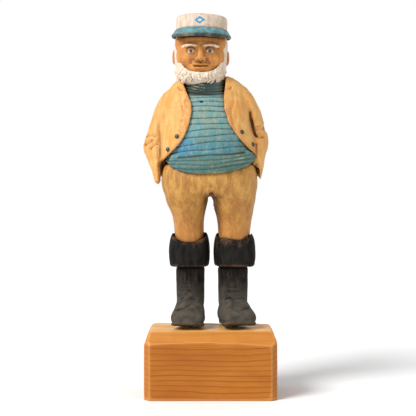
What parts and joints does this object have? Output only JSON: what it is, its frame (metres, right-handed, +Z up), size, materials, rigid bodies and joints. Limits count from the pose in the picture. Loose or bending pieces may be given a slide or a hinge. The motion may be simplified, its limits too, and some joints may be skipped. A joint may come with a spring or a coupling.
{
  "type": "carved wooden figurine",
  "caption": "Hand-carved painted wooden sailor with beard, peaked cap, open jacket and sea boots, standing on a bare pine block.",
  "frame": {"origin": "centre of the base block's underside", "axes": "+Z up, the sailor faces -Y, +X is the sailor's left-hand side"},
  "size_m": [0.1054, 0.066, 0.2995],
  "materials": {
    "base_pine": "bare pine under clear varnish, knife-cut chamfers",
    "screw_zinc": "zinc-plated steel",
    "boot_black": "thin matt black paint, rubbed brown at the edges",
    "dowel_beech": "bare beech dowel rod",
    "trouser_ochre": "thin ochre paint with the upright grain showing",
    "jersey_blue": "blue paint rubbed back to the wood over cut grooves",
    "jacket_tan": "thin tan paint, darker in the folds",
    "button_steel": "dark dull steel brad heads",
    "head_stain": "warm brown stain, satin",
    "beard_white": "matt white paint",
    "cap_white": "matt cream-white paint",
    "visor_blue": "matt blue paint, dark edge"
  },
  "bodies": {
    "root": {"base_block": "base_pine", "base_screw_left": "screw_zinc", "base_screw_right": "screw_zinc", "boot_left": "boot_black", "boot_right": "boot_black", "leg_dowel_left": "dowel_beech", "leg_dowel_right": "dowel_beech", "trousers": "trouser_ochre", "waist_dowel": "dowel_beech", "jersey": "jersey_blue", "jacket": "jacket_tan", "sleeve_left": "jacket_tan", "sleeve_right": "jacket_tan", "sleeve_dowel_left": "dowel_beech", "sleeve_dowel_right": "dowel_beech", "button_left_upper": "button_steel", "button_left_lower": "button_steel", "button_right_upper": "button_steel", "button_right_lower": "button_steel", "neck_dowel": "dowel_beech", "head": "head_stain", "beard_and_hair": "beard_white", "cap_dowel": "dowel_beech", "cap_crown": "cap_white", "cap_visor": "visor_blue"}
  },
  "joints": []
}
